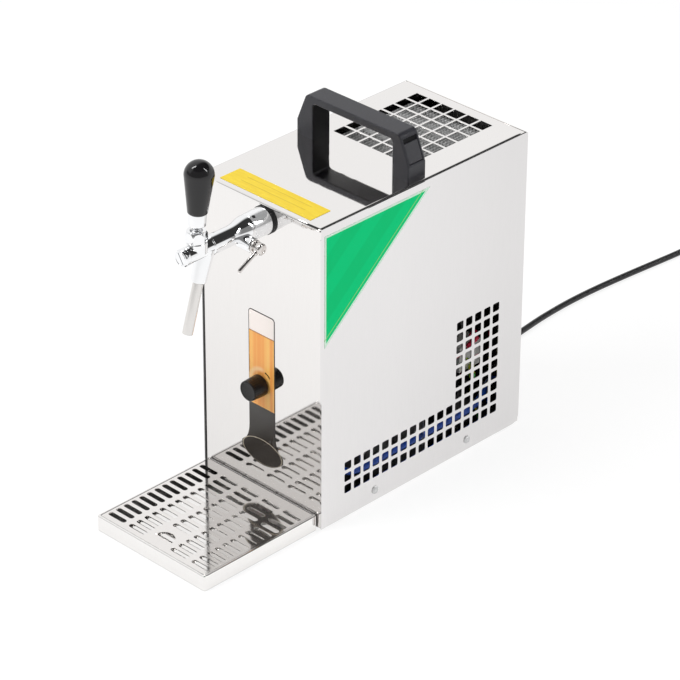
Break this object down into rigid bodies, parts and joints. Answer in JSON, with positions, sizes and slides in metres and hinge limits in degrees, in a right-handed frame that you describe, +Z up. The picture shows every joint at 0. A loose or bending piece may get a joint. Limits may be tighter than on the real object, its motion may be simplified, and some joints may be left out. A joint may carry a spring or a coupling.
{
  "type": "beer tap cooler",
  "caption": "Countertop beer cooler: polished steel cabinet with a front tap and lever, thermostat knob, carrying handle, vented sides, loose drip tray and mains lead.",
  "frame": {"origin": "on the floor, in the middle of the object's outline without its mains lead", "axes": "+Z up, +Y from the tap to the rear panel, +X to the right as seen by the person who draws beer"},
  "size_m": [0.1794, 1.0091, 0.4362],
  "materials": {
    "panel_steel": "mirror polished",
    "plain_steel": "satin",
    "chrome": "polished",
    "black_plastic": "fine grain",
    "gloss_black": "glossy",
    "black_rubber": "matte",
    "black_steel": "satin",
    "dial_print": "glossy print",
    "green_print": "glossy print",
    "yellow_print": "glossy print",
    "white_plastic": "satin",
    "grey_plastic": "satin",
    "foam": "foamed",
    "aluminium": "satin",
    "copper": "drawn",
    "blue_hose": "smooth",
    "red_wire": "smooth",
    "green_wire": "smooth"
  },
  "bodies": {
    "cabinet": {"base_pan": "panel_steel", "front_panel": "panel_steel", "rear_panel": "panel_steel", "top_panel": "panel_steel", "right_side_panel": "panel_steel", "left_side_panel": "panel_steel", "inner_frame": "plain_steel", "fan_shroud": "plain_steel", "shank_nut": "plain_steel", "inlet_nut": "plain_steel", "handle_screws": "plain_steel", "compressor_bolts": "plain_steel", "outlet_tube": "plain_steel", "side_screws": "chrome", "tap_shank": "chrome", "coupling_ring": "chrome", "tap_body": "chrome", "tap_end_plug": "chrome", "lever_nut": "chrome", "spout": "chrome", "carry_handle": "black_plastic", "handle_caps": "black_plastic", "beer_inlet": "black_plastic", "coil_tie": "black_plastic", "feet": "black_rubber", "shank_gasket": "black_rubber", "compressor_grommets": "black_rubber", "lead_gland": "black_rubber", "mains_lead": "black_rubber", "lead_coil": "black_rubber", "mains_plug": "black_rubber", "coupling_screw": "black_steel", "compressor": "black_steel", "fan_motor": "black_steel", "dial_plate": "dial_print", "side_label": "green_print", "top_label": "yellow_print", "thermostat": "white_plastic", "relay_box": "white_plastic", "insulation_case": "foam", "insulation_lid": "foam", "cold_block": "aluminium", "condenser": "aluminium", "filter_drier": "copper", "copper_pipes": "copper", "beer_hose": "blue_hose", "live_wire": "red_wire", "earth_wire": "green_wire"},
    "lever": {"tap_lever": "chrome", "lever_ferrule": "chrome", "lever_knob": "gloss_black"},
    "plunger": {"valve_plunger": "chrome", "plunger_seal": "black_rubber"},
    "compensator": {"compensator_lever": "chrome"},
    "flow_cone": {"compensator_cone": "white_plastic"},
    "temperature_knob": {"thermostat_knob": "black_plastic"},
    "fan": {"fan_blade": "black_plastic"},
    "tray": {"drip_tray": "panel_steel"},
    "grate": {"drip_grate": "panel_steel"},
    "collet": {"inlet_collet": "grey_plastic"}
  },
  "joints": [
    {"name": "tap_lever", "type": "hinge", "parent": "cabinet", "child": "lever", "pos_m": [0.006, -0.17535, 0.3555], "axis": [1, 0, 0], "range_deg": [0, 26]},
    {"name": "valve_plunger", "type": "slide", "parent": "cabinet", "child": "plunger", "axis": [0, 1, 0], "range_m": [0, 0.0063]},
    {"name": "flow_lever", "type": "hinge", "parent": "cabinet", "child": "compensator", "pos_m": [0.006, -0.11835, 0.3302], "axis": [1, 0, 0], "range_deg": [-40, 40]},
    {"name": "flow_cone", "type": "slide", "parent": "cabinet", "child": "flow_cone", "axis": [0, 1, 0], "range_m": [-0.0031, 0.0031]},
    {"name": "thermostat_knob", "type": "hinge", "parent": "cabinet", "child": "temperature_knob", "pos_m": [0, -0.09235, 0.1425], "axis": [0, 1, 0], "range_deg": [0, 270]},
    {"name": "fan", "type": "hinge", "parent": "cabinet", "child": "fan", "pos_m": [-0.001, 0.14065, 0.2625], "axis": [0, 0, 1], "continuous": true},
    {"name": "drip_tray", "type": "slide", "parent": "cabinet", "child": "tray", "axis": [0, -1, 0], "range_m": [0, 0.12]},
    {"name": "drip_grate", "type": "slide", "parent": "tray", "child": "grate", "axis": [0, 0, 1], "range_m": [0, 0.06]},
    {"name": "inlet_collet", "type": "slide", "parent": "cabinet", "child": "collet", "axis": [0, -1, 0], "range_m": [0, 0.0015]}
  ],
  "couplings": [
    {"joint": "valve_plunger", "follows": "tap_lever", "m_per_rad": 0.0136},
    {"joint": "flow_cone", "follows": "flow_lever", "m_per_rad": 0.0043}
  ]
}
